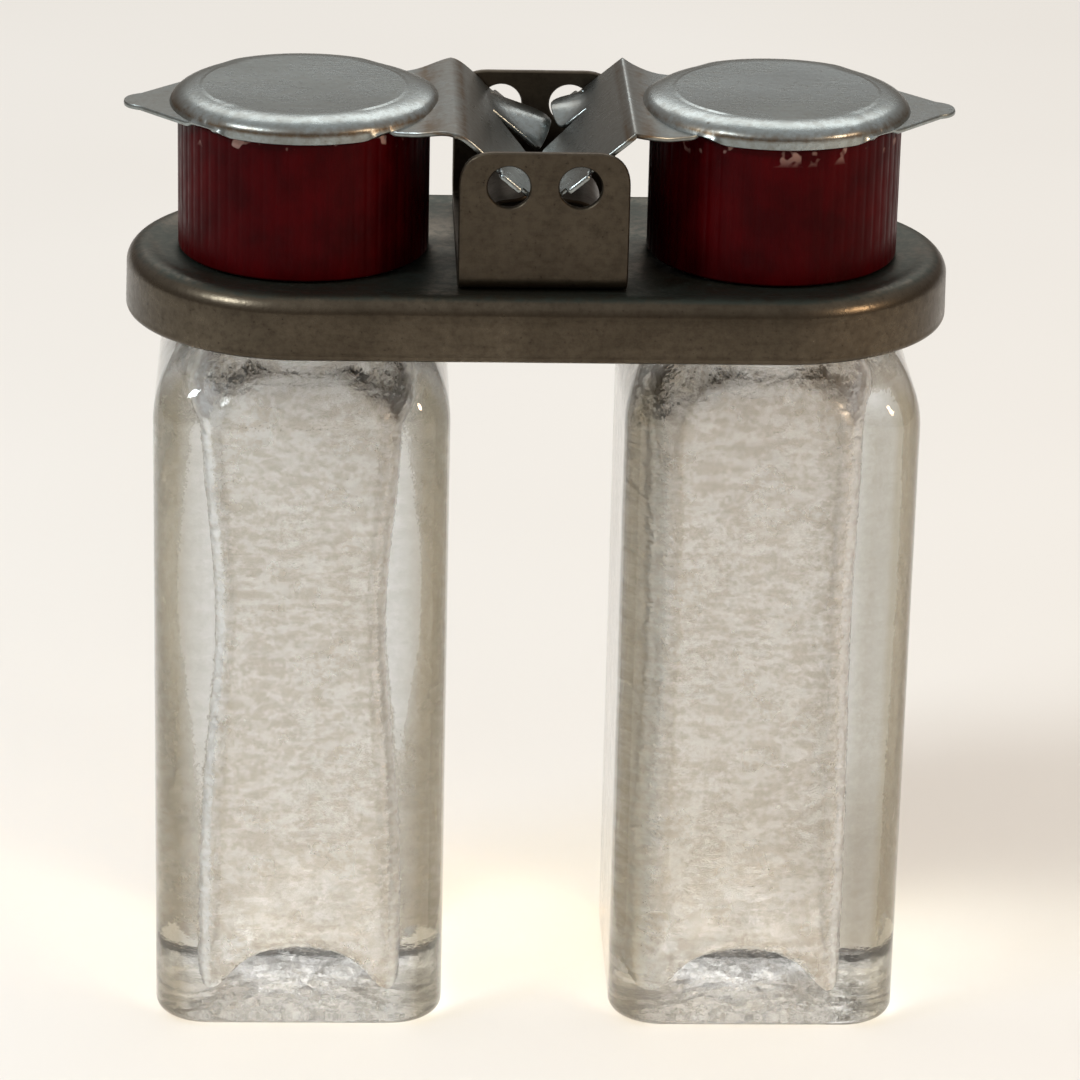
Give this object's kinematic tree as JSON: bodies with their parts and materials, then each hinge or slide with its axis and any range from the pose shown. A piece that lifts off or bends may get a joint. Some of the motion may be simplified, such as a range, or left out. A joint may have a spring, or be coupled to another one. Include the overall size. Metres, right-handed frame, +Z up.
{
  "type": "salt and pepper shakers",
  "caption": "Travel salt and pepper set: square glass bottles with ribbed screw caps clamped in a pressed metal tray, with sprung flip lids on a centre hinge bracket.",
  "frame": {"origin": "on the table, midway between the two bottles", "axes": "+X from the left shaker to the right one, +Y from front to back, +Z up"},
  "size_m": [0.0836, 0.036, 0.0982],
  "materials": {
    "tray_metal": "aged nickel plate with grey-brown patina",
    "bracket_metal": "aged nickel plate, brown and dull",
    "lid_metal": "worn nickel plate, brushed, brown at the edges",
    "spring_steel": "dark spring steel",
    "bottle_glass": "clear pressed glass, slightly warm, wavy inside",
    "cap_plastic": "dark maroon moulded plastic, finely ribbed, semi-gloss",
    "washer_cork": "pressed cork",
    "liner_rubber": "dull dark rubber"
  },
  "bodies": {
    "frame": {"tray": "tray_metal", "hinge_bracket": "bracket_metal", "front_rivet": "bracket_metal", "back_rivet": "bracket_metal", "leaf_spring": "spring_steel"},
    "left_lid": {"left_lid": "lid_metal", "left_lid_liner": "liner_rubber"},
    "right_lid": {"right_lid": "lid_metal", "right_lid_liner": "liner_rubber"},
    "left_cap": {"left_cap": "cap_plastic", "left_cap_washer": "washer_cork"},
    "right_cap": {"right_cap": "cap_plastic", "right_cap_washer": "washer_cork"},
    "left_bottle": {"left_bottle": "bottle_glass"},
    "right_bottle": {"right_bottle": "bottle_glass"}
  },
  "joints": [
    {"name": "left_lid_flip", "type": "hinge", "parent": "frame", "child": "left_lid", "pos_m": [-0.00354, 0, 0.0922], "axis": [0, 1, 0], "range_deg": [0, 70], "stiffness_Nm_per_rad": 0.012, "springref_deg": -68.75, "deforming": ["leaf_spring"]},
    {"name": "left_cap_turn", "type": "hinge", "parent": "frame", "child": "left_cap", "pos_m": [-0.0238, 0, 0.0813], "axis": [0, 0, 1], "range_deg": [0, 540]},
    {"name": "left_bottle_drop", "type": "slide", "parent": "frame", "child": "left_bottle", "axis": [0, 0, -1], "range_m": [0, 0.0045]},
    {"name": "right_lid_flip", "type": "hinge", "parent": "frame", "child": "right_lid", "pos_m": [0.00354, 0, 0.0922], "axis": [0, -1, 0], "range_deg": [0, 70], "stiffness_Nm_per_rad": 0.012, "springref_deg": -68.75, "deforming": ["leaf_spring"]},
    {"name": "right_cap_turn", "type": "hinge", "parent": "frame", "child": "right_cap", "pos_m": [0.0238, 0, 0.0813], "axis": [0, 0, 1], "range_deg": [0, 540]},
    {"name": "right_bottle_drop", "type": "slide", "parent": "frame", "child": "right_bottle", "axis": [0, 0, -1], "range_m": [0, 0.0045]}
  ],
  "couplings": [
    {"joint": "left_cap_turn", "follows": "left_bottle_drop", "rad_per_m": 2094.4},
    {"joint": "right_cap_turn", "follows": "right_bottle_drop", "rad_per_m": 2094.4}
  ]
}
